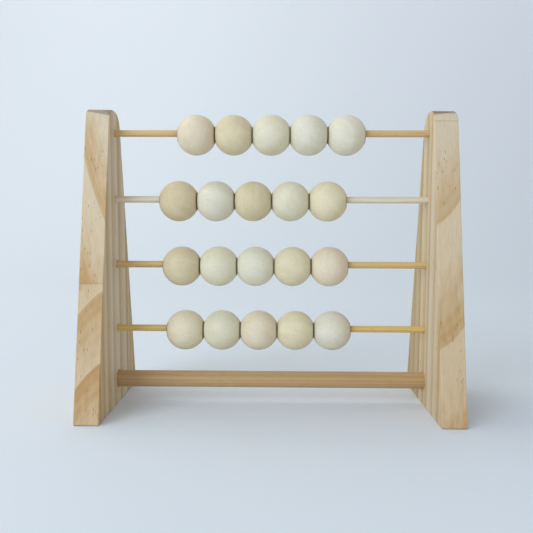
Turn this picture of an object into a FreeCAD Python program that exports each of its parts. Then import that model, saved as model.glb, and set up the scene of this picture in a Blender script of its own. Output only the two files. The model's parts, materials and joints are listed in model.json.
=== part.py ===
import FreeCAD, Part
import math
import os
import Sketcher

# Wooden counting frame: two tapered pine side boards, a round stretcher at the
# foot and four thin rods, each with five loose wooden beads.
# Row frame in millimetres: +X along the rods, +Y towards the back, +Z up.
# The origin is on the floor, midway between the boards and midway front to back.

ROWS = (1, 2, 3, 4)
BEADS_PER_ROW = 5
MIDDLE_BEAD = 3

DIMENSIONS = [
    # Side boards
    ("inner_span", 234.0),
    ("board_thick", 17.5),
    ("board_height", 222.0),
    ("foot_depth", 114.0),
    ("crown_depth", 26.5),
    ("crown_front_round", 12.0),
    ("crown_back_round", 15.0),
    ("edge_round", 0.8),
    # Rods, counted from the top row down
    ("rod_dia", 5.0),
    ("top_rod_z", 205.0),
    ("rod_pitch", 49.0),
    # Stretcher
    ("stretcher_dia", 12.5),
    ("stretcher_z", 18.5),
    # Blind sockets in the inner faces of the boards
    ("socket_depth", 10.0),
    ("socket_clearance", 0.05),
    ("end_gap", 0.5),
    ("dowel_chamfer", 0.5),
    # Beads
    ("bead_dia", 30.0),
    ("bead_length", 27.6),
    ("bead_gap", 0.3),
    ("bore_dia", 7.6),
    ("bore_chamfer", 0.4),
    ("rim_round", 0.8),
    ("slide_clearance", 0.05),
    # Where the middle bead of each row stands along its rod
    ("row1_middle_x", 0.0),
    ("row2_middle_x", -13.4),
    ("row3_middle_x", -11.5),
    ("row4_middle_x", -9.0),
]

doc = FreeCAD.newDocument("counting_frame")
sheet = doc.addObject("Spreadsheet::Sheet", "Dims")
for line, (alias, value) in enumerate(DIMENSIONS, start=1):
    sheet.set(f"A{line}", alias)
    sheet.set(f"B{line}", str(value))
    sheet.setAlias(f"B{line}", alias)
doc.recompute()

subparts = []


def dim(alias):
    """The value of one driving dimension."""
    return float(getattr(sheet, alias))


def rod_height(row):
    """Expression for the height of a row's rod, row 1 being the top one."""
    return f"Dims.top_rod_z - {row - 1} * Dims.rod_pitch"


def new_body(label):
    body = doc.addObject("PartDesign::Body", label)
    body.Label = label
    subparts.append(body)
    return body


def new_sketch(body, role, name):
    """A sketch on one of the body's own origin planes."""
    sketch = body.newObject("Sketcher::SketchObject", name)
    plane = [item for item in body.Origin.OriginFeatures if item.Role == role][0]
    sketch.AttachmentSupport = [(plane, "")]
    sketch.MapMode = "FlatFace"
    return sketch


def bind(sketch, index, name, expression):
    """Names a constraint and ties its value to the sheet."""
    sketch.renameConstraint(index, name)
    sketch.setExpression(f"Constraints.{name}", expression)


def edge_names(feature, test):
    """Names of a feature's edges whose shape passes the test."""
    edges = enumerate(feature.Shape.Edges, start=1)
    return [f"Edge{number}" for number, edge in edges if test(edge)]


def lies_across_crown(edge):
    """An edge across the board's thickness, near its top."""
    box = edge.BoundBox
    return box.XLength > dim("board_thick") / 2 and box.ZMin > dim("board_height") / 2


def is_rim(edge, rim_radius):
    """The circle where a bead's ball meets one of its flats."""
    curve = edge.Curve
    return isinstance(curve, Part.Circle) and abs(curve.Radius - rim_radius) < 0.01


def board_outline(body):
    """Tapered outline: wide at the foot, narrow at the crown, on the YZ plane."""
    sketch = new_sketch(body, "YZ_Plane", f"{body.Label}_outline")
    foot = dim("foot_depth") / 2
    crown = dim("crown_depth") / 2
    top = dim("board_height")
    corners = [(-foot, 0), (foot, 0), (crown, top), (-crown, top)]
    points = [FreeCAD.Vector(y, z, 0) for y, z in corners]
    for here, there in zip(points, points[1:] + points[:1]):
        sketch.addGeometry(Part.LineSegment(here, there), False)
    for side in range(4):
        sketch.addConstraint(Sketcher.Constraint("Coincident", side, 2, (side + 1) % 4, 1))
    sketch.addConstraint(Sketcher.Constraint("Symmetric", 0, 1, 0, 2, -1, 1))
    sketch.addConstraint(Sketcher.Constraint("Symmetric", 2, 1, 2, 2, -2))
    width = sketch.addConstraint(Sketcher.Constraint("DistanceX", 0, 1, 0, 2, 2 * foot))
    bind(sketch, width, "foot_depth", "Dims.foot_depth")
    width = sketch.addConstraint(Sketcher.Constraint("DistanceX", 2, 2, 2, 1, 2 * crown))
    bind(sketch, width, "crown_depth", "Dims.crown_depth")
    height = sketch.addConstraint(Sketcher.Constraint("DistanceY", 1, 1, 1, 2, top))
    bind(sketch, height, "board_height", "Dims.board_height")
    return sketch


def socket_circles(body):
    """Four rod sockets and the stretcher socket, on the board's inner face."""
    sketch = new_sketch(body, "YZ_Plane", f"{body.Label}_sockets")
    clearance = dim("socket_clearance")
    holes = [("rod", f"rod_row{row}", rod_height(row)) for row in ROWS]
    holes.append(("stretcher", "stretcher", "Dims.stretcher_z"))
    for index, (stock, name, height) in enumerate(holes):
        radius = dim(f"{stock}_dia") / 2 + clearance
        centre = FreeCAD.Vector(0, dim("top_rod_z") - index * dim("rod_pitch"), 0)
        circle = Part.Circle(centre, FreeCAD.Vector(0, 0, 1), radius)
        sketch.addGeometry(circle, False)
        sketch.addConstraint(Sketcher.Constraint("PointOnObject", index, 3, -2))
        level = sketch.addConstraint(Sketcher.Constraint("DistanceY", -1, 1, index, 3, centre.y))
        bind(sketch, level, f"{name}_z", height)
        size = sketch.addConstraint(Sketcher.Constraint("Radius", index, radius))
        bind(sketch, size, f"{name}_r", f"Dims.{stock}_dia / 2 + Dims.socket_clearance")
    return sketch


def side_board(label, side):
    """A board whose inner face lies on its own YZ plane; side is -1 left, 1 right."""
    body = new_body(label)
    pad = body.newObject("PartDesign::Pad", f"{label}_blank")
    pad.Profile = board_outline(body)
    pad.setExpression("Length", "Dims.board_thick")
    pad.Reversed = side < 0
    doc.recompute()

    rounded = pad
    for corner, front_or_back in (("front", -1), ("back", 1)):
        crown = body.newObject("PartDesign::Fillet", f"{label}_crown_{corner}")
        corners = edge_names(
            rounded,
            lambda edge: lies_across_crown(edge) and edge.CenterOfMass.y * front_or_back > 0,
        )
        crown.Base = (rounded, corners)
        crown.setExpression("Radius", f"Dims.crown_{corner}_round")
        doc.recompute()
        rounded = crown

    # The seams where the crown's rounds run into the flats stay as they are.
    eased = body.newObject("PartDesign::Fillet", f"{label}_eased")
    eased.Base = (rounded, edge_names(rounded, lambda edge: not lies_across_crown(edge)))
    eased.setExpression("Radius", "Dims.edge_round")
    doc.recompute()
    volume_undrilled = eased.Shape.Volume

    sockets = body.newObject("PartDesign::Pocket", f"{label}_bores")
    sockets.Profile = socket_circles(body)
    sockets.setExpression("Length", "Dims.socket_depth")
    sockets.Reversed = side > 0
    body.setExpression("Placement.Base.x", f"{side} * Dims.inner_span / 2")
    doc.recompute()

    rod_socket = math.pi * (dim("rod_dia") / 2 + dim("socket_clearance")) ** 2
    stretcher_socket = math.pi * (dim("stretcher_dia") / 2 + dim("socket_clearance")) ** 2
    expected = (len(ROWS) * rod_socket + stretcher_socket) * dim("socket_depth")
    removed = volume_undrilled - sockets.Shape.Volume
    if abs(removed - expected) > 0.01 * expected:
        raise RuntimeError(f"{label}: sockets removed {removed:.1f}, not {expected:.1f} mm3")


def dowel(label, stock, height):
    """A round rod along X, centred between the boards and held in both sockets."""
    body = new_body(label)
    sketch = new_sketch(body, "YZ_Plane", f"{label}_section")
    radius = dim(f"{stock}_dia") / 2
    section = Part.Circle(FreeCAD.Vector(0, 0, 0), FreeCAD.Vector(0, 0, 1), radius)
    sketch.addGeometry(section, False)
    sketch.addConstraint(Sketcher.Constraint("Coincident", 0, 3, -1, 1))
    size = sketch.addConstraint(Sketcher.Constraint("Radius", 0, radius))
    bind(sketch, size, "section_r", f"Dims.{stock}_dia / 2")

    reach = "Dims.inner_span + 2 * (Dims.socket_depth - Dims.end_gap)"
    pad = body.newObject("PartDesign::Pad", f"{label}_stock")
    pad.Profile = sketch
    pad.setExpression("Length", reach)
    doc.recompute()

    ends = body.newObject("PartDesign::Chamfer", f"{label}_ends")
    ends.Base = (pad, edge_names(pad, lambda edge: edge.BoundBox.XLength < radius))
    ends.setExpression("Size", "Dims.dowel_chamfer")
    body.setExpression("Placement.Base.x", f"-({reach}) / 2")
    body.setExpression("Placement.Base.z", height)
    doc.recompute()


def bead(label, row, place):
    """A ball on the X axis with a flat turned at each end and a loose bore."""
    body = new_body(label)
    sketch = new_sketch(body, "XZ_Plane", f"{label}_profile")
    ball = dim("bead_dia") / 2
    half = dim("bead_length") / 2
    bore = dim("bore_dia") / 2
    lead = dim("bore_chamfer")
    flat = math.sqrt(ball**2 - half**2)
    corners = [(half, flat), (half, bore + lead), (half - lead, bore)]
    mirrored = [(-x, z) for x, z in reversed(corners)]
    points = [FreeCAD.Vector(x, z, 0) for x, z in corners + mirrored]
    for here, there in zip(points, points[1:]):
        sketch.addGeometry(Part.LineSegment(here, there), False)
    circle = Part.Circle(FreeCAD.Vector(0, 0, 0), FreeCAD.Vector(0, 0, 1), ball)
    rise = math.atan2(flat, half)
    sketch.addGeometry(Part.ArcOfCircle(circle, rise, math.pi - rise), False)

    for side in range(4):
        sketch.addConstraint(Sketcher.Constraint("Coincident", side, 2, side + 1, 1))
    sketch.addConstraint(Sketcher.Constraint("Coincident", 5, 1, 0, 1))
    sketch.addConstraint(Sketcher.Constraint("Coincident", 5, 2, 4, 2))
    sketch.addConstraint(Sketcher.Constraint("Coincident", 5, 3, -1, 1))
    sketch.addConstraint(Sketcher.Constraint("Vertical", 0))
    sketch.addConstraint(Sketcher.Constraint("Vertical", 4))
    sketch.addConstraint(Sketcher.Constraint("Symmetric", 2, 1, 2, 2, -2))
    sketch.addConstraint(Sketcher.Constraint("Symmetric", 0, 2, 3, 2, -2))
    size = sketch.addConstraint(Sketcher.Constraint("Radius", 5, ball))
    bind(sketch, size, "ball_r", "Dims.bead_dia / 2")
    size = sketch.addConstraint(Sketcher.Constraint("DistanceX", -1, 1, 0, 1, half))
    bind(sketch, size, "half_length", "Dims.bead_length / 2")
    size = sketch.addConstraint(Sketcher.Constraint("DistanceY", -1, 1, 2, 1, bore))
    bind(sketch, size, "bore_r", "Dims.bore_dia / 2")
    size = sketch.addConstraint(Sketcher.Constraint("DistanceX", 1, 2, 1, 1, lead))
    bind(sketch, size, "chamfer_x", "Dims.bore_chamfer")
    size = sketch.addConstraint(Sketcher.Constraint("DistanceY", 1, 2, 1, 1, lead))
    bind(sketch, size, "chamfer_z", "Dims.bore_chamfer")

    turned = body.newObject("PartDesign::Revolution", f"{label}_turned")
    turned.Profile = sketch
    turned.ReferenceAxis = (sketch, ["H_Axis"])
    turned.Angle = 360
    doc.recompute()

    rims = body.newObject("PartDesign::Fillet", f"{label}_rims")
    rims.Base = (turned, edge_names(turned, lambda edge: is_rim(edge, flat)))
    rims.setExpression("Radius", "Dims.rim_round")
    steps = place - MIDDLE_BEAD
    spacing = "(Dims.bead_length + Dims.bead_gap)"
    drop = "(Dims.bore_dia - Dims.rod_dia) / 2 - Dims.slide_clearance"
    body.setExpression("Placement.Base.x", f"Dims.row{row}_middle_x + {steps} * {spacing}")
    body.setExpression("Placement.Base.z", f"{rod_height(row)} - ({drop})")


side_board("left_side_board", -1)
side_board("right_side_board", 1)
dowel("bottom_stretcher", "stretcher", "Dims.stretcher_z")
for row in ROWS:
    dowel(f"rod_row{row}", "rod", rod_height(row))
    for place in range(1, BEADS_PER_ROW + 1):
        bead(f"row{row}_bead{place}", row, place)
doc.recompute()

for item in doc.Objects:
    if "Invalid" in item.State or "Error" in item.State:
        raise RuntimeError(f"{item.Label} failed: {item.State}")
for body in subparts:
    shape = body.Shape
    if shape.isNull() or not shape.isValid() or len(shape.Solids) != 1:
        raise RuntimeError(f"{body.Label} is not one valid solid")

os.makedirs("parts", exist_ok=True)
for body in subparts:
    body.Shape.exportStep(f"parts/{body.Label}.step")
    print(f"{body.Label}: {body.Shape.Volume:.0f} mm3, {body.Shape.BoundBox}")
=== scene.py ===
import json
import math
import random

import bmesh
import bpy
from mathutils import Euler, Matrix, Vector, noise


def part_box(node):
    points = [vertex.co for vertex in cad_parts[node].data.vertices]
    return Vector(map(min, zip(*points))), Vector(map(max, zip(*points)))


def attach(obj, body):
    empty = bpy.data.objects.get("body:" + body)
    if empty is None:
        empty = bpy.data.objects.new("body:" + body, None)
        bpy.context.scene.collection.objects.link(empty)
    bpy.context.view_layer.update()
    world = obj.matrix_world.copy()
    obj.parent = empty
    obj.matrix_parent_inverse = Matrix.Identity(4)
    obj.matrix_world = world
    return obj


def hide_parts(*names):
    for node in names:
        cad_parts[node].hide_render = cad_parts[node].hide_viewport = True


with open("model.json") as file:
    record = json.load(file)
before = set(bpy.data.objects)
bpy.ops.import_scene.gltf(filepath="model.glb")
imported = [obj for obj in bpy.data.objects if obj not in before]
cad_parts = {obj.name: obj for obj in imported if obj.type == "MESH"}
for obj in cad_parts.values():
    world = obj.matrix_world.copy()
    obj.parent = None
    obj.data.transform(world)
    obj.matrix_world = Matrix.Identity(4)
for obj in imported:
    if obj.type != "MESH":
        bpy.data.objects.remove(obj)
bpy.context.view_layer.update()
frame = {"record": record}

slot_of = {entry["node"]: entry["material_slot"] for entry in frame["record"]["subparts"]}

# ---------------------------------------------------------------------------
# Side boards. Each is a tapered upright of edge-glued pine staves, sawn wide at the
# foot and narrow at the crown, with the crown rounded over and every arris sanded.
# Blind sockets drilled in the inner face hold the four rods and the stretcher.

FOOT_DEPTH = 0.114
CROWN_DEPTH = 0.0265
CROWN_HEIGHT = 0.016
BACK_ROUND = 0.015
FOOT_ROUND = 0.0012
ARRIS = 0.0007
CROWN_ARRIS = 0.0019
ARRIS_WAVER = 0.3
WAVER_ALONG_EDGE = 60
WAVER_PER_BOARD = 40
ARRIS_STEPS = 6
CORNER_STEPS = 18
SIDE_STEPS = 28
SOCKET_DEPTH = 0.010
SOCKET_CLEARANCE = 0.00005
SOCKET_MOUTH = 0.0005
SOCKET_FACETS = 48
SAME_SPOT = 1e-6
CREASE = math.radians(30)
DOWELS = ["rod_row1", "rod_row2", "rod_row3", "rod_row4", "bottom_stretcher"]


def tone(red, green, blue):
    """A display colour, 0 to 255 a channel, as the linear colour that shaders take."""
    levels = [value / 255 for value in (red, green, blue)]
    linear = [v / 12.92 if v <= 0.04045 else ((v + 0.055) / 1.055) ** 2.4 for v in levels]
    return (*linear, 1.0)


def turn(name, profile, facets, closed=False):
    """A mesh turned about the X axis from (x, radius) points, like work on a lathe."""
    work = bmesh.new()
    angles = [2 * math.pi * step / facets for step in range(facets)]
    rings = []
    for x, radius in profile:
        spots = [(x, radius * math.cos(a), radius * math.sin(a)) for a in angles]
        rings.append([work.verts.new(spot) for spot in (spots if radius else spots[:1])])
    followers = rings[1:] + rings[:1] if closed else rings[1:]
    for ring, follower in zip(rings, followers):
        for step in range(facets):
            after = (step + 1) % facets
            corners = [ring[step % len(ring)], ring[after % len(ring)]]
            corners += [follower[after % len(follower)], follower[step % len(follower)]]
            work.faces.new(list(dict.fromkeys(corners)))
    bmesh.ops.recalc_face_normals(work, faces=work.faces)
    mesh = bpy.data.meshes.new(name)
    work.to_mesh(mesh)
    work.free()
    return mesh


def show(name, mesh, material):
    """Puts a mesh in the scene as a smooth-shaded piece with one material."""
    piece = bpy.data.objects.new(name, mesh)
    bpy.context.scene.collection.objects.link(piece)
    mesh.materials.append(material)
    mesh.shade_smooth()
    return piece


def fixed_shape(piece):
    """Applies the piece's modifiers to its mesh."""
    graph = bpy.context.evaluated_depsgraph_get()
    shaped = bpy.data.meshes.new_from_object(piece.evaluated_get(graph))
    piece.modifiers.clear()
    piece.data = shaped


def rounded_corner(corner, before, after, radius):
    """Centre of the arc that rounds a corner, and the inward normals it turns between."""
    into, out = (corner - before).normalized(), (after - corner).normalized()
    first, last = Vector((-into.y, into.x)), Vector((-out.y, out.x))
    return corner + radius * (first + last) / (1 + first.dot(last)), first, last, radius


def board_loop(height, front_round):
    """The board's outline as (arc centre, inward normal, radius) along the whole edge."""
    foot, crown = FOOT_DEPTH / 2, CROWN_DEPTH / 2
    corners = [Vector(p) for p in ((-foot, 0), (foot, 0), (crown, height), (-crown, height))]
    rounds = [FOOT_ROUND, FOOT_ROUND, BACK_ROUND, front_round]
    arcs = []
    for n, radius in enumerate(rounds):
        arcs.append(rounded_corner(corners[n], corners[n - 1], corners[(n + 1) % 4], radius))
    loop = []
    for n, (centre, first, last, radius) in enumerate(arcs):
        for step in range(CORNER_STEPS + 1):
            share = step / CORNER_STEPS
            loop.append((centre, first.slerp(last, share), radius))
        following, _, _, next_radius = arcs[(n + 1) % 4]
        for step in range(1, SIDE_STEPS):
            share = step / SIDE_STEPS
            between = radius + (next_radius - radius) * share
            loop.append((centre.lerp(following, share), last, between))
    return loop


def board_mesh(name, inner_x, outer_x, inner_crown, outer_crown):
    """A solid board with hand-eased arrises; its edge attribute marks them. Each face's
    crown is given as (height, front round), because the crown is sanded by hand."""
    work = bmesh.new()
    worn = work.verts.layers.float.new("edge")
    across = 1 if outer_x > inner_x else -1
    rows = []
    for face_x, inward, crown in ((inner_x, across, inner_crown), (outer_x, -across, outer_crown)):
        height, front_round = crown
        loop = board_loop(height, front_round)
        steps = range(-1, ARRIS_STEPS + 1)
        for step in (steps if inward == across else reversed(steps)):
            angle = math.pi / 2 * max(step, 0) / ARRIS_STEPS
            ring = []
            for centre, normal, radius in loop:
                spot = centre - normal * radius
                near_crown = max(0.0, (spot.y - height + CROWN_HEIGHT) / CROWN_HEIGHT)
                along = (spot.x * WAVER_ALONG_EDGE, spot.y * WAVER_ALONG_EDGE)
                waver = noise.noise(Vector((inner_x * WAVER_PER_BOARD, *along)))
                crown_ease = CROWN_ARRIS if face_x == outer_x else CROWN_ARRIS / 2
                ease = ARRIS * (1 + ARRIS_WAVER * waver) + (crown_ease - ARRIS) * near_crown**2
                inset = ease * (1 - math.sin(angle)) + (ARRIS if step < 0 else 0)
                spot = spot + normal * min(inset, radius)
                x = face_x + inward * ease * (1 - math.cos(angle))
                vertex = work.verts.new((x, spot.x, spot.y))
                vertex[worn] = math.sin(2 * angle)
                ring.append(vertex)
            rows.append(ring)
    count = len(rows[0])
    for ring, follower in zip(rows, rows[1:]):
        for n in range(count):
            after = (n + 1) % count
            work.faces.new((ring[n], ring[after], follower[after], follower[n]))
    work.faces.new(rows[0])
    work.faces.new(rows[-1])
    bmesh.ops.remove_doubles(work, verts=work.verts, dist=SAME_SPOT)
    bmesh.ops.recalc_face_normals(work, faces=work.faces)
    mesh = bpy.data.meshes.new(name)
    work.to_mesh(mesh)
    work.free()
    return mesh


def place(tree, kind, feeds, **settings):
    """Adds a shader node, sets its properties and feeds its inputs by name or number."""
    made = tree.nodes.new("ShaderNode" + kind)
    for name, value in settings.items():
        setattr(made, name, value)
    for key, source in feeds.items():
        if isinstance(source, bpy.types.NodeSocket):
            tree.links.new(source, made.inputs[key])
        else:
            made.inputs[key].default_value = source
    return made


def number(tree, operation, *values):
    """One step of arithmetic."""
    return place(tree, "Math", dict(enumerate(values)), operation=operation).outputs[0]


def spread(tree, value, lowest, highest):
    """A value from 0 to 1 stretched to run from lowest to highest."""
    return number(tree, "MULTIPLY_ADD", value, highest - lowest, lowest)


def vector(tree, operation, *values):
    """One step of vector arithmetic."""
    return place(tree, "VectorMath", dict(enumerate(values)), operation=operation).outputs[0]


def rise(tree, value, low, high):
    """0 below low, 1 above high and a smooth step between; high may be the lower one."""
    feeds = {"Value": value, "From Min": low, "From Max": high}
    return place(tree, "MapRange", feeds, interpolation_type="SMOOTHSTEP").outputs[0]


def scaled(tree, source, amount):
    """A vector or colour made larger or smaller as a whole."""
    return place(tree, "VectorMath", {0: source, "Scale": amount}, operation="SCALE").outputs[0]


def blend_colour(tree, share, first, second):
    """Two colours mixed by a share from 0 to 1."""
    return place(tree, "Mix", {0: share, 6: first, 7: second}, data_type="RGBA").outputs[2]


def blend_darker(tree, share, colour, keep):
    """A colour that keeps only part of each channel where the share is 1."""
    return blend_colour(tree, share, colour, vector(tree, "MULTIPLY", colour, keep))


def group(name, inputs, outputs):
    """An empty shader node group and its two end nodes; inputs give their defaults."""
    tree = bpy.data.node_groups.new(name, "ShaderNodeTree")
    for label, start in inputs.items():
        kind = "NodeSocketFloat" if isinstance(start, (int, float)) else "NodeSocketVector"
        socket = tree.interface.new_socket(label, in_out="INPUT", socket_type=kind)
        socket.default_value = start
    for label in outputs:
        tree.interface.new_socket(label, in_out="OUTPUT", socket_type="NodeSocketFloat")
    entry = tree.nodes.new("NodeGroupInput")
    leave = tree.nodes.new("NodeGroupOutput")
    return tree, entry.outputs, leave.inputs


def use(tree, made_group, feeds):
    """Places a node group in a material and returns its outputs."""
    return place(tree, "Group", feeds, node_tree=made_group).outputs


RING_DRIFT = 22.0
RING_DRIFT_ALONG = 0.2
RING_FRAY = 260.0
RING_FRAY_ALONG = 0.05
RING_FRAY_SPREAD = 0.8
YEAR_END = 0.975
YEAR_VIGOUR = (0.7, 1.05)
BANDS_PER_YEAR = 1.7
BAND_STRENGTH = (0.80, 1.02)


def annual_rings():
    """Growth rings about a heart that runs along Z: pale early wood that deepens
    into late wood and stops sharply where the next year begins."""
    inputs = {
        "Coordinates": (0, 0, 0),
        "Heart": (0, 0, 0),
        "Ring Width": 0.01,
        "Wander": 0.002,
        "Late Start": 0.35,
    }
    tree, given, result = group("annual_rings", inputs, ["Late Wood"])
    slow = vector(tree, "MULTIPLY", given["Coordinates"], (1, 1, RING_DRIFT_ALONG))
    drift = place(tree, "TexNoise", {"Vector": slow, "Scale": RING_DRIFT, "Detail": 2.0})
    centred = vector(tree, "SUBTRACT", drift.outputs["Color"], (0.5, 0.5, 0.5))
    moved = scaled(tree, centred, given["Wander"])
    spot = vector(tree, "ADD", given["Coordinates"], moved)
    spot = vector(tree, "SUBTRACT", spot, given["Heart"])
    flat = vector(tree, "MULTIPLY", spot, (1, 1, 0))
    reach = place(tree, "VectorMath", {0: flat}, operation="LENGTH").outputs["Value"]
    years = number(tree, "DIVIDE", reach, given["Ring Width"])
    phase = number(tree, "FRACT", years)
    streaks = vector(tree, "MULTIPLY", given["Coordinates"], (1, 1, RING_FRAY_ALONG))
    uneven = place(tree, "TexNoise", {"Vector": streaks, "Scale": RING_FRAY, "Detail": 3.0})
    fray = spread(tree, uneven.outputs["Fac"], -RING_FRAY_SPREAD / 2, RING_FRAY_SPREAD / 2)
    deepening = rise(tree, number(tree, "ADD", phase, fray), given["Late Start"], 1.0)
    ending = rise(tree, phase, 1.0, YEAR_END)
    year = number(tree, "FLOOR", years)
    luck = place(tree, "TexWhiteNoise", {"W": year}, noise_dimensions="1D").outputs["Value"]
    vigour = spread(tree, luck, *YEAR_VIGOUR)
    seasons = number(tree, "MULTIPLY", years, BANDS_PER_YEAR)
    bands = place(tree, "TexNoise", {"W": seasons, "Detail": 0.5}, noise_dimensions="1D")
    banding = spread(tree, rise(tree, bands.outputs["Fac"], 0.36, 0.64), *BAND_STRENGTH)
    late = number(tree, "MULTIPLY", number(tree, "MULTIPLY", deepening, ending), banding)
    tree.links.new(number(tree, "MULTIPLY", late, vigour), result["Late Wood"])
    return tree


FIBRE_ALONG = 0.035
FLECK_ALONG = 0.13
FLECK_EDGE = (0.25, 0.12)
FLECK_SWARMS = 34.0
SWARM_EDGE = (0.44, 0.60)
FLECK_PIT = -0.8


def fibre_grain():
    """Fine fibres and short dark resin or pore flecks, both drawn out along Z."""
    inputs = {
        "Coordinates": (0, 0, 0),
        "Fineness": 700.0,
        "Fleck Density": 500.0,
        "Fleck Share": 0.5,
    }
    tree, given, result = group("fibre_grain", inputs, ["Streak", "Fleck", "Height"])
    long = vector(tree, "MULTIPLY", given["Coordinates"], (1, 1, FIBRE_ALONG))
    feeds = {"Vector": long, "Scale": given["Fineness"], "Detail": 3.0, "Roughness": 0.6}
    streak = place(tree, "TexNoise", feeds).outputs["Fac"]
    dash = vector(tree, "MULTIPLY", given["Coordinates"], (1, 1, FLECK_ALONG))
    cells = place(tree, "TexVoronoi", {"Vector": dash, "Scale": given["Fleck Density"]})
    spot = rise(tree, cells.outputs["Distance"], *FLECK_EDGE)
    pick = place(tree, "SeparateColor", {0: cells.outputs["Color"]}).outputs[0]
    feeds = {"Vector": given["Coordinates"], "Scale": FLECK_SWARMS, "Detail": 1.0}
    swarm = rise(tree, place(tree, "TexNoise", feeds).outputs["Fac"], *SWARM_EDGE)
    likely = number(tree, "MULTIPLY", swarm, given["Fleck Share"])
    fleck = number(tree, "MULTIPLY", spot, number(tree, "LESS_THAN", pick, likely))
    tree.links.new(streak, result["Streak"])
    tree.links.new(fleck, result["Fleck"])
    pit = number(tree, "MULTIPLY", fleck, FLECK_PIT)
    tree.links.new(number(tree, "ADD", streak, pit), result["Height"])
    return tree


WEAR_PATCHES = 90.0
PATCH_EDGE = (0.30, 0.62)


def handled_edge():
    """Where an arris has been sanded and handled: a broken band along marked edges."""
    inputs = {"Edge": 0.0, "Coordinates": (0, 0, 0), "Amount": 1.0}
    tree, given, result = group("handled_edge", inputs, ["Wear"])
    feeds = {"Vector": given["Coordinates"], "Scale": WEAR_PATCHES, "Detail": 3.0}
    broken = rise(tree, place(tree, "TexNoise", feeds).outputs["Fac"], *PATCH_EDGE)
    worn = number(tree, "MULTIPLY", given["Edge"], broken)
    tree.links.new(number(tree, "MULTIPLY", worn, given["Amount"]), result["Wear"])
    return tree


FLECK_TONE = (0.64, 0.57, 0.49)
HANDLED_TONE = (0.97, 0.94, 0.90)
STREAK_SHADE = (0.87, 1.13)
STREAK_GLOSS = 0.16
WEAR_AMOUNT = 0.55
WEAR_GLOSS = -0.12
RELIEF_DEPTH = 0.0002
RINGS = annual_rings()
GRAIN = fibre_grain()
WEAR = handled_edge()


def finished_wood(name, bare_colour_of, roughness, sheen_level, grain_feeds, bump):
    """A bare, sanded wood. bare_colour_of(tree, coordinates) gives its ring colour;
    fibres, flecks, handled edges and a fine relief are laid over it here."""
    material = bpy.data.materials.new(name)
    material.use_nodes = True
    tree = material.node_tree
    tree.nodes.clear()
    coordinates = bare_colour_of.coordinates(tree)
    colour = bare_colour_of(tree, coordinates)
    grain = use(tree, GRAIN, {"Coordinates": coordinates, **grain_feeds})
    streaked = scaled(tree, colour, spread(tree, grain["Streak"], *STREAK_SHADE))
    flecked = blend_darker(tree, grain["Fleck"], streaked, FLECK_TONE)
    edge = place(tree, "Attribute", {}, attribute_name="edge").outputs["Fac"]
    feeds = {"Edge": edge, "Coordinates": coordinates, "Amount": WEAR_AMOUNT}
    wear = use(tree, WEAR, feeds)["Wear"]
    smooth, rough = roughness - STREAK_GLOSS / 2, roughness + STREAK_GLOSS / 2
    gloss = spread(tree, grain["Streak"], smooth, rough)
    feeds = {"Height": grain["Height"], "Strength": bump, "Distance": RELIEF_DEPTH}
    relief = place(tree, "Bump", feeds).outputs[0]
    shader = place(tree, "BsdfPrincipled", {
        "Base Color": blend_darker(tree, wear, flecked, HANDLED_TONE),
        "Roughness": number(tree, "MULTIPLY_ADD", wear, WEAR_GLOSS, gloss),
        "Specular IOR Level": sheen_level,
        "Normal": relief,
    })
    output = tree.nodes.new("ShaderNodeOutputMaterial")
    tree.links.new(shader.outputs[0], output.inputs["Surface"])
    return material


# Glue line colour, also used for the painted shade line at the crown.
GLUE_LINE_AND_CREASE_SHADE = tone(150, 118, 78)
GLUE_SHOWS = 0.25
GLUE_EDGE = (0.00022, 0.00005)
JOINT_BLUR = 0.00005
EDGE_TONING = (0.95, 0.86, 0.75)
TONING_REACH = (0.010, 0.060)
END_GRAIN = (0.54, 0.57, 0.66)
END_GRAIN_FADE = 0.10
# Painted shade line where the crown's rounding begins: its width and how strongly it shows.
CROWN_SHADE_EDGE = (0.0005, 0.0001)
CROWN_SHADE_SHOWS = 0.4
FACES_FRONT = (-0.6, -0.9)


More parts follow.
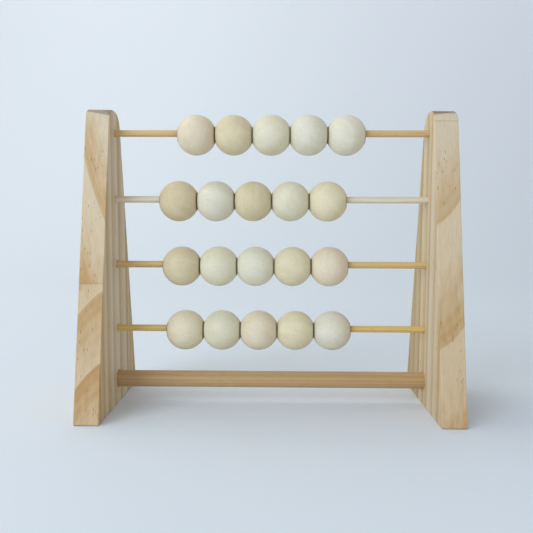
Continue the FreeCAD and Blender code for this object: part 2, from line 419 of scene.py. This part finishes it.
class BoardColour:
    """Staves of pine side by side, each sawn from its own log, with thin glue lines; the right
    board's rear band is painted shade.
    Sawn end grain darkens the crest, and a thin line of painted shade may cross the front where
    the crown's rounding begins."""

    def __init__(self, staves, end_grain_from, crown_shade_line):
        self.staves, self.end_grain_from, self.crown_shade_line = staves, end_grain_from, crown_shade_line

    @staticmethod
    def coordinates(tree):
        return place(tree, "TexCoord", {}).outputs["Object"]

    def __call__(self, tree, coordinates):
        _, depth, height = place(tree, "SeparateXYZ", {0: coordinates}).outputs
        colour = None
        for stave in self.staves:
            late = use(tree, RINGS, {"Coordinates": coordinates, **stave["cut"]})["Late Wood"]
            own = blend_colour(tree, late, stave["early"], stave["late"])
            if colour is None:
                colour = own
                continue
            joint = stave["from"]
            side = rise(tree, depth, joint - JOINT_BLUR, joint + JOINT_BLUR)
            colour = blend_colour(tree, side, colour, own)
            away = number(tree, "ABSOLUTE", number(tree, "SUBTRACT", depth, joint))
            line = number(tree, "MULTIPLY", rise(tree, away, *GLUE_EDGE), GLUE_SHOWS)
            colour = blend_colour(tree, line, colour, GLUE_LINE_AND_CREASE_SHADE)
        off_centre = rise(tree, number(tree, "ABSOLUTE", depth), *TONING_REACH)
        colour = blend_darker(tree, off_centre, colour, EDGE_TONING)
        facing = place(tree, "TexCoord", {}).outputs["Normal"]
        _, backward, upward = place(tree, "SeparateXYZ", {0: facing}).outputs
        low, high = self.end_grain_from, self.end_grain_from + END_GRAIN_FADE
        end_grain = rise(tree, number(tree, "ABSOLUTE", upward), low, high)
        colour = blend_darker(tree, end_grain, colour, END_GRAIN)
        # Painted shade: a thin dark line across the front face where the crown's rounding starts.
        if self.crown_shade_line:
            away = number(tree, "ABSOLUTE", number(tree, "SUBTRACT", height, self.crown_shade_line))
            on_front = rise(tree, backward, *FACES_FRONT)
            crease_shade = number(tree, "MULTIPLY", rise(tree, away, *CROWN_SHADE_EDGE), on_front)
            crease_shade = number(tree, "MULTIPLY", crease_shade, CROWN_SHADE_SHOWS)
            colour = blend_colour(tree, crease_shade, colour, GLUE_LINE_AND_CREASE_SHADE)
        return colour


PALE_PINE = tone(211, 194, 163)
CREAM_PINE = tone(206, 187, 150)
TAN_PINE = tone(187, 153, 99)
BROWN_PINE = tone(180, 142, 82)
# A darker pine used as painted shade on the rear of the right board.
REAR_SHADE_PINE = tone(192, 173, 136)

left_staves = [
    {
        "cut": {
            "Heart": (-0.102, -0.163, 0),
            "Ring Width": 0.009625,
            "Late Start": -0.15,
            "Wander": 0.0004,
        },
        "early": PALE_PINE,
        "late": BROWN_PINE,
    },
    {
        "from": -0.038,
        "cut": {"Heart": (-0.081, 0.0525, 0), "Ring Width": 0.0150, "Late Start": 0.17},
        "early": PALE_PINE,
        "late": TAN_PINE,
    },
    {
        "from": 0.030,
        "cut": {"Heart": (-0.105, 0.125, 0), "Ring Width": 0.0090, "Late Start": 0.20},
        "early": CREAM_PINE,
        "late": TAN_PINE,
    },
]
right_staves = [
    {
        "cut": {"Heart": (0.108, 0.053, 0), "Ring Width": 0.01668, "Late Start": 0.30},
        "early": PALE_PINE,
        "late": TAN_PINE,
    },
    {
        "from": -0.004,
        "cut": {"Heart": (0.120, 0.061, 0), "Ring Width": 0.0160, "Late Start": 0.30},
        "early": CREAM_PINE,
        "late": TAN_PINE,
    },
    # Not a log of its own, the same as the stave before: from here back the board is painted
    # darker, as painted shade.
    {
        "from": 0.014,
        "cut": {"Heart": (0.120, 0.061, 0), "Ring Width": 0.0160, "Late Start": 0.30},
        "early": REAR_SHADE_PINE,
        "late": BROWN_PINE,
    },
]
board_colours = {
    "left_side_board": BoardColour(left_staves, 0.50, None),
    # The last value is the height of the painted shade line across the front.
    "right_side_board": BoardColour(right_staves, 0.71, 0.2122),
}
# For the inner and the outer face: how far the crest is sanded down, and its front round.
crown_cuts = {
    "left_side_board": [(0.0004, 0.012), (0.0012, 0.004)],
    "right_side_board": [(0.0010, 0.012), (0.0013, 0.011)],
}
board_grain = {"Fineness": 700.0, "Fleck Density": 620.0, "Fleck Share": 0.75}
BOARD_ROUGHNESS = 0.58
BOARD_SHEEN = 0.32
BOARD_RELIEF = 0.35


def drill_socket(board, inner_x, into, dowel):
    """Drills the blind socket that a dowel's end is glued into, with its eased mouth."""
    dowel_low, dowel_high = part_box(dowel)
    radius = (dowel_high.z - dowel_low.z) / 2 + SOCKET_CLEARANCE
    centre = (dowel_high + dowel_low) / 2
    stations = [
        (-SOCKET_MOUTH, 0),
        (-SOCKET_MOUTH, radius + 2 * SOCKET_MOUTH),
        (SOCKET_MOUTH, radius),
        (SOCKET_DEPTH, radius),
        (SOCKET_DEPTH, 0),
    ]
    profile = [(inner_x + into * depth, size) for depth, size in stations]
    cutter = bpy.data.objects.new("drill", turn("drill", profile, SOCKET_FACETS))
    cutter.location = (0, centre.y, centre.z)
    bpy.context.scene.collection.objects.link(cutter)
    drill = board.modifiers.new("drill", "BOOLEAN")
    drill.object = cutter
    drill.operation = "DIFFERENCE"
    drill.solver = "EXACT"
    fixed_shape(board)
    bpy.data.objects.remove(cutter)


for node, board_colour in board_colours.items():
    low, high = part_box(node)
    inner_x, outer_x = (high.x, low.x) if high.x < 0 else (low.x, high.x)
    material = finished_wood(
        f"pine_{node}", board_colour, BOARD_ROUGHNESS, BOARD_SHEEN, board_grain, BOARD_RELIEF
    )
    crowns = [(high.z - sanded_off, front_round) for sanded_off, front_round in crown_cuts[node]]
    mesh = board_mesh(f"{node}_sawn", inner_x, outer_x, *crowns)
    board = show(f"{node}_sanded", mesh, material)
    for dowel in DOWELS:
        drill_socket(board, inner_x, 1 if outer_x > inner_x else -1, dowel)
    board.data.set_sharp_from_angle(angle=CREASE)
    weighted = board.modifiers.new("face_normals", "WEIGHTED_NORMAL")
    weighted.keep_sharp = True
    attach(board, "frame")
    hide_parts(node)

# ---------------------------------------------------------------------------
# Rods and stretcher. The rods are thin golden dowels, one of them paler; the stretcher
# is a thicker orange-brown hardwood dowel. All are pressed and glued into the sockets.

DOWEL_CHAMFER = 0.0005
DOWEL_FACETS = 96
DOWEL_STATIONS = 60
DOWEL_WANDER = 0.00003
WANDER_ALONG = 25
WANDER_PER_ROD = 90
WANDER_UPWARD = 31.7
DOWEL_RING_WANDER = 0.0012
DOWEL_ROUGHNESS = 0.50
DOWEL_SHEEN = 0.40
DOWEL_RELIEF = 0.3


class DowelColour:
    """Straight-grained stock with its fibres along X."""

    def __init__(self, early, late, heart, ring):
        self.early, self.late, self.heart, self.ring = early, late, heart, ring

    @staticmethod
    def coordinates(tree):
        spot = place(tree, "TexCoord", {}).outputs["Object"]
        parts = place(tree, "SeparateXYZ", {0: spot}).outputs
        turned = place(tree, "CombineXYZ", {0: parts["Y"], 1: parts["Z"], 2: parts["X"]})
        return turned.outputs[0]

    def __call__(self, tree, coordinates):
        feeds = {
            "Coordinates": coordinates,
            "Heart": (*self.heart, 0),
            "Ring Width": self.ring,
            "Wander": DOWEL_RING_WANDER,
        }
        late = use(tree, RINGS, feeds)["Late Wood"]
        return blend_colour(tree, late, self.early, self.late)


# For each dowel: its early wood, its late wood, the heart of its rings and their width.
dowel_colours = {
    "rod_row1": (tone(211, 180, 126), tone(195, 156, 98), (0.020, 0.19), 0.0016),
    "rod_row2": (tone(224, 212, 187), tone(210, 194, 162), (0.015, 0.14), 0.0019),
    "rod_row3": (tone(213, 183, 124), tone(197, 160, 94), (-0.020, 0.12), 0.0015),
    "rod_row4": (tone(219, 190, 113), tone(203, 166, 86), (0.018, 0.08), 0.0017),
    "bottom_stretcher": (tone(189, 157, 111), tone(176, 141, 95), (0.002, 0.012), 0.0016),
}
dowel_grain = {"Fineness": 1500.0, "Fleck Density": 1300.0, "Fleck Share": 0.5}

for node in DOWELS:
    low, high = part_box(node)
    centre, radius = (low + high) / 2, (high.z - low.z) / 2
    profile = [(low.x, 0), (low.x, radius - DOWEL_CHAMFER)]
    for station in range(DOWEL_STATIONS + 1):
        share = station / DOWEL_STATIONS
        x = low.x + DOWEL_CHAMFER + (high.x - low.x - 2 * DOWEL_CHAMFER) * share
        profile.append((x, radius))
    profile += [(high.x, radius - DOWEL_CHAMFER), (high.x, 0)]
    mesh = turn(f"{node}_stock", profile, DOWEL_FACETS)
    for vertex in mesh.vertices:
        along, own = vertex.co.x * WANDER_ALONG, centre.z * WANDER_PER_ROD
        inside = min(1.0, (centre.x - low.x - abs(vertex.co.x - centre.x)) / SOCKET_DEPTH - 1)
        wander = DOWEL_WANDER * max(inside, 0)
        vertex.co.y += centre.y + wander * noise.noise(Vector((along, own, 0)))
        vertex.co.z += centre.z + wander * noise.noise(Vector((along, own, WANDER_UPWARD)))
    stock = DowelColour(*dowel_colours[node])
    material = finished_wood(
        f"{node}_wood", stock, DOWEL_ROUGHNESS, DOWEL_SHEEN, dowel_grain, DOWEL_RELIEF
    )
    dowel = show(f"{node}_dowel", mesh, material)
    dowel.data.set_sharp_from_angle(angle=CREASE)
    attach(dowel, "frame")
    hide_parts(node)

# ---------------------------------------------------------------------------
# Beads. Twenty pale wooden balls, turned with a flat at each end and bored loosely for
# the rod. Each comes from another piece of wood, so its shade and figure are its own.

BALL_RADIUS = 0.015
SIZE_SPREAD = 0.00012
FLAT_EXTRA = 0.0001
RIM_ROUND = 0.0008
BORE_RADIUS = 0.00395
BORE_ROUND = 0.0005
BEAD_FACETS = 72
BALL_STEPS = 40
RIM_STEPS = 6
LIP_STEPS = 5
TILT_SPREAD = 0.4
TINT_SPREAD = 0.02
TIMBER_SHIFT = (0.02, 0.09)
BEAD_CREASE = math.radians(50)
# Painted contact shade between touching beads, with a little drill burnish: the tone kept on the
# flats and how far from the flat it reaches.
BURNISH_AND_CONTACT_SHADE = (0.24, 0.17, 0.11)
BURNISH_AND_SHADE_REACH = 0.0009
RIM_WEAR = 0.7
RIM_WEAR_REACH = 1.5 * RIM_ROUND
CLOUD_FINENESS = 110.0
CLOUD_ALONG = 0.3
CLOUD_EDGE = (0.3, 0.7)
CLOUD_SHOWS = 0.24
RINGS_SHOW = 0.16
BEAD_ROUGHNESS = 0.52
BEAD_SHEEN = 0.25
BEAD_RELIEF = 0.25

bead_tones = {
    "bead_pale": (tone(226, 222, 198), tone(203, 194, 162)),
    "bead_cream": (tone(227, 218, 187), tone(203, 184, 142)),
    "bead_tan": (tone(221, 208, 174), tone(192, 170, 124)),
}


class BeadColour:
    """Faint wide rings, at each bead's own slant through its timber attribute, under a
    tint of its own; the flats at the bore are painted brown, mostly as contact shade
    between touching beads, with a little drill burnish."""

    def __init__(self, early, late):
        self.early, self.late = early, late

    @staticmethod
    def coordinates(tree):
        return place(tree, "Attribute", {}, attribute_name="timber").outputs["Vector"]

    def __call__(self, tree, coordinates):
        feeds = {
            "Coordinates": coordinates,
            "Ring Width": 0.013,
            "Wander": 0.005,
            "Late Start": -0.4,
        }
        rings = number(tree, "MULTIPLY", use(tree, RINGS, feeds)["Late Wood"], RINGS_SHOW)
        drawn = vector(tree, "MULTIPLY", coordinates, (1, 1, CLOUD_ALONG))
        clouds = place(tree, "TexNoise", {"Vector": drawn, "Scale": CLOUD_FINENESS, "Detail": 2.0})
        cloudy = rise(tree, clouds.outputs["Fac"], *CLOUD_EDGE)
        figure = number(tree, "MULTIPLY_ADD", cloudy, CLOUD_SHOWS, rings)
        colour = blend_colour(tree, figure, self.early, self.late)
        tint = place(tree, "Attribute", {}, attribute_name="tint").outputs["Vector"]
        colour = vector(tree, "MULTIPLY", colour, tint)
        flat = place(tree, "Attribute", {}, attribute_name="flat").outputs["Fac"]
        # The flats are painted darker: contact shade between beads, with a little drill burnish.
        return blend_darker(tree, flat, colour, BURNISH_AND_CONTACT_SHADE)


bead_grain = {"Fineness": 1100.0, "Fleck Density": 1300.0, "Fleck Share": 0.05}
bead_woods = {}
for slot, tones in bead_tones.items():
    bead_woods[slot] = finished_wood(
        slot, BeadColour(*tones), BEAD_ROUGHNESS, BEAD_SHEEN, bead_grain, BEAD_RELIEF
    )


def arc(centre, radius, start, end, steps):
    """Points of an arc in the turning profile, angles in degrees from the bore axis."""
    angles = [math.radians(start + (end - start) * step / steps) for step in range(steps + 1)]
    return [(centre[0] + radius * math.cos(a), centre[1] + radius * math.sin(a)) for a in angles]


def bead_profile(ball, half):
    """Closed outline from one flat over the ball to the other flat and back by the bore."""
    pivot_x = half - RIM_ROUND
    pivot_height = math.sqrt((ball - RIM_ROUND) ** 2 - pivot_x**2)
    lean = math.degrees(math.atan2(pivot_height, pivot_x))
    rim = arc((pivot_x, pivot_height), RIM_ROUND, 0, lean, RIM_STEPS)
    over = arc((0, 0), ball, lean, 90, BALL_STEPS // 2)[1:-1]
    lip_centre = (half - BORE_ROUND, BORE_RADIUS + BORE_ROUND)
    lip = arc(lip_centre, BORE_ROUND, 270, 360, LIP_STEPS)
    right = lip + rim + over
    left = [(-x, radius) for x, radius in reversed(right)]
    return right + [(0, ball)] + left


tints = {
    "plain": (1.0, 1.0, 1.0),
    "grey": (0.985, 0.975, 1.0),
    "green": (0.995, 0.98, 0.93),
    "pink": (1.02, 0.985, 1.02),
    "gold": (0.99, 0.99, 0.96),
    "brown": (0.94, 0.91, 0.88),
}
bead_tints = {
    "row1": ["pink", "plain", "green", "grey", "grey"],
    "row2": ["brown", "grey", "gold", "green", "gold"],
    "row3": ["plain", "green", "plain", "gold", "pink"],
    "row4": ["plain", "green", "pink", "gold", "grey"],
}

# What each point of a bead carries for its material.
bead_markings = {
    "timber": "FLOAT_VECTOR",
    "tint": "FLOAT_VECTOR",
    "edge": "FLOAT",
    "flat": "FLOAT",
}
dice = random.Random(7)
for node, slot in slot_of.items():
    if "_bead" not in node:
        continue
    low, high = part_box(node)
    centre = (low + high) / 2
    half = (high.x - low.x) / 2 + FLAT_EXTRA
    ball = BALL_RADIUS + dice.uniform(-SIZE_SPREAD, SIZE_SPREAD)
    mesh = turn(f"{node}_turned", bead_profile(ball, half), BEAD_FACETS, closed=True)
    turn_about_bore = Matrix.Rotation(dice.uniform(0, 2 * math.pi), 3, "X")
    grain_lean = Euler([dice.uniform(0, math.pi) for _ in range(3)]).to_matrix()
    shift = Vector([dice.uniform(*TIMBER_SHIFT) for _ in range(3)])
    row, place_in_row = node.split("_bead")
    own_tint = Vector(tints[bead_tints[row][int(place_in_row) - 1]])
    own_tint *= dice.uniform(1 - TINT_SPREAD, 1 + TINT_SPREAD)
    for marking, kind in bead_markings.items():
        mesh.attributes.new(marking, kind, "POINT")
    timber, tint, edge, flat = [mesh.attributes[marking] for marking in bead_markings]
    tilt = Euler([0, math.radians(dice.uniform(-TILT_SPREAD, TILT_SPREAD)), 0]).to_matrix()
    for vertex in mesh.vertices:
        timber.data[vertex.index].vector = grain_lean @ turn_about_bore @ vertex.co + shift
        from_flat = half - abs(vertex.co.x)
        edge.data[vertex.index].value = RIM_WEAR if from_flat < RIM_WEAR_REACH else 0.0
        # How strongly each point carries the painted contact shade of the flats.
        flat.data[vertex.index].value = max(0.0, 1 - from_flat / BURNISH_AND_SHADE_REACH)
        tint.data[vertex.index].vector = own_tint
        vertex.co = centre + tilt @ vertex.co
    bead = show(f"{node}_ball", mesh, bead_woods[slot])
    bead.data.set_sharp_from_angle(angle=BEAD_CREASE)
    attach(bead, node)
    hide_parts(node)

# ---------------------------------------------------------------------------
# Table top and backdrop: one pale blue-grey sheet that lies flat under the toy and
# sweeps up behind it, so that no edge shows.

SWEEP_WIDTH = 5.0
SWEEP_FRONT = -2.6
SWEEP_BACK = 0.8
SWEEP_RADIUS = 1.6
SWEEP_TOP = 4.0
SWEEP_STEPS = 24
PAPER_TONE = tone(228, 234, 240)
PAPER_ROUGHNESS = 0.75

sweep_line = [(SWEEP_FRONT, 0.0)]
for step in range(SWEEP_STEPS + 1):
    angle = math.pi / 2 * step / SWEEP_STEPS
    reach, lift = SWEEP_RADIUS * math.sin(angle), SWEEP_RADIUS * (1 - math.cos(angle))
    sweep_line.append((SWEEP_BACK + reach, lift))
sweep_line.append((SWEEP_BACK + SWEEP_RADIUS, SWEEP_TOP))
sheet = bmesh.new()
columns = []
for y, z in sweep_line:
    columns.append([sheet.verts.new((x, y, z)) for x in (-SWEEP_WIDTH / 2, SWEEP_WIDTH / 2)])
for first, second in zip(columns, columns[1:]):
    sheet.faces.new((first[0], first[1], second[1], second[0]))
sweep_mesh = bpy.data.meshes.new("paper_sweep")
sheet.to_mesh(sweep_mesh)
sheet.free()
paper = bpy.data.materials.new("matt_paper")
paper.use_nodes = True
paper_shader = paper.node_tree.nodes["Principled BSDF"]
paper_shader.inputs["Base Color"].default_value = PAPER_TONE
paper_shader.inputs["Roughness"].default_value = PAPER_ROUGHNESS
sweep = show("paper_sweep", sweep_mesh, paper)

# ---------------------------------------------------------------------------
# Light and camera. A soft window from the front left, a lamp on the backdrop and a pale
# room all round, brightest near the ground; the camera stands low, just off centre.

ROOM_LOW = (0.955, 0.960, 1.0, 1.0)
ROOM_HIGH = (0.330, 0.362, 0.392, 1.0)
ROOM_STRENGTH = 1.02
ROOM_TURN = 0.8

world = bpy.data.worlds.new("studio")
world.use_nodes = True
room = world.node_tree
facing = place(room, "TexCoord", {}).outputs["Generated"]
upward = place(room, "SeparateXYZ", {0: facing}).outputs["Z"]
feeds = {"Value": upward, "From Min": 0.0, "From Max": ROOM_TURN}
climb = place(room, "MapRange", feeds).outputs[0]
glow = room.nodes["Background"].inputs
room.links.new(blend_colour(room, climb, ROOM_LOW, ROOM_HIGH), glow["Color"])
glow["Strength"].default_value = ROOM_STRENGTH
bpy.context.scene.world = world


def soft_light(name, spot, aim, size, watts, colour):
    """A square soft box that points at a spot and stays out of the picture."""
    lamp = bpy.data.lights.new(name, "AREA")
    lamp.shape = "SQUARE"
    lamp.size = size
    lamp.energy = watts
    lamp.color = colour
    held = bpy.data.objects.new(name, lamp)
    held.location = spot
    held.rotation_euler = (Vector(aim) - Vector(spot)).to_track_quat("-Z", "Y").to_euler()
    held.visible_camera = False
    bpy.context.scene.collection.objects.link(held)


middle = (0, 0, 0.11)
soft_light(
    "window_box",
    spot=(-0.95, -1.15, 0.72),
    aim=middle,
    size=1.0,
    watts=13.4,
    colour=(0.77, 0.86, 1.0),
)
soft_light(
    "backdrop_box",
    spot=(-0.9, 0.6, 1.6),
    aim=(-0.2, 1.7, 0.1),
    size=1.6,
    watts=11.6,
    colour=(1.0, 1.0, 0.90),
)

bpy.context.scene.view_settings.view_transform = "Standard"

CAMERA_SPOT = (0.0042, -0.4633, 0.1442)
CAMERA_TURN = (85.24, -0.19, 0.93)

camera = bpy.data.cameras.new("camera")
camera.sensor_width = 36.0
camera.lens = 41.37
eye = bpy.data.objects.new("camera", camera)
eye.location = CAMERA_SPOT
eye.rotation_euler = [math.radians(angle) for angle in CAMERA_TURN]
bpy.context.scene.collection.objects.link(eye)
bpy.context.scene.camera = eye
